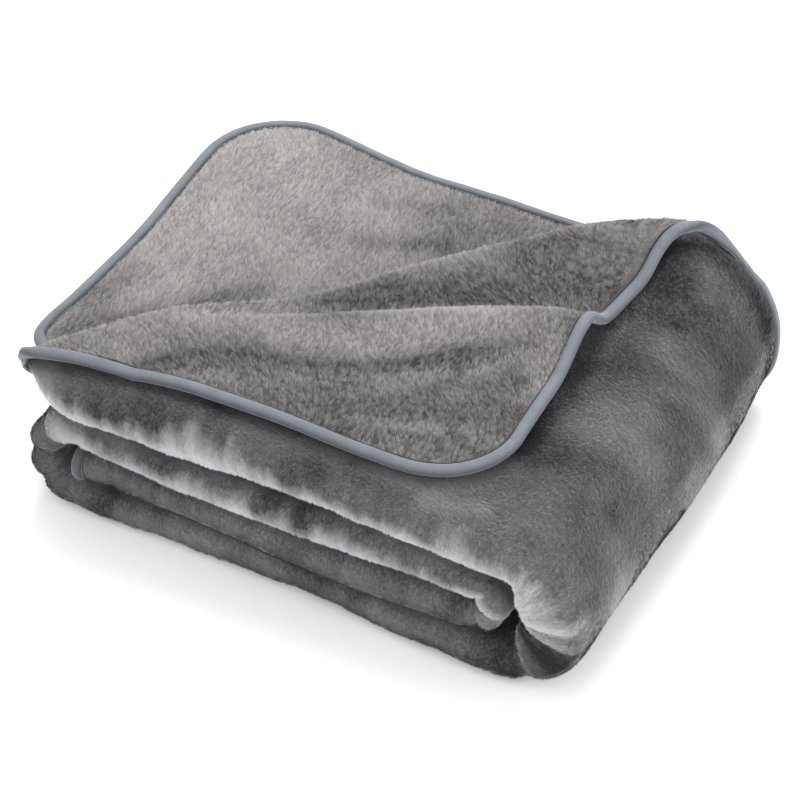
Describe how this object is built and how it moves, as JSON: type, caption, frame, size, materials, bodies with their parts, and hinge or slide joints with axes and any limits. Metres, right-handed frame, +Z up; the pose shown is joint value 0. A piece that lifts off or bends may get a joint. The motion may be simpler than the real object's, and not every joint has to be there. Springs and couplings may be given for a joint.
{
  "type": "folded throw blanket",
  "caption": "Plush throw blanket with a bound edge, folded into a soft bundle with one corner turned back over the top.",
  "frame": {"origin": "on the floor, under the middle of the folded bundle's box", "axes": "+Z up, +X along the bundle towards its rounded right turn, front folds towards -Y"},
  "size_m": [0.4251, 0.3397, 0.1461],
  "materials": {
    "cloth": "dense short pile, soft sheen on the outer side, fluffier and lighter on the reverse",
    "tape": "fine knit tape, matt"
  },
  "bodies": {
    "root": {"blanket": "cloth", "binding": "tape"}
  },
  "joints": []
}
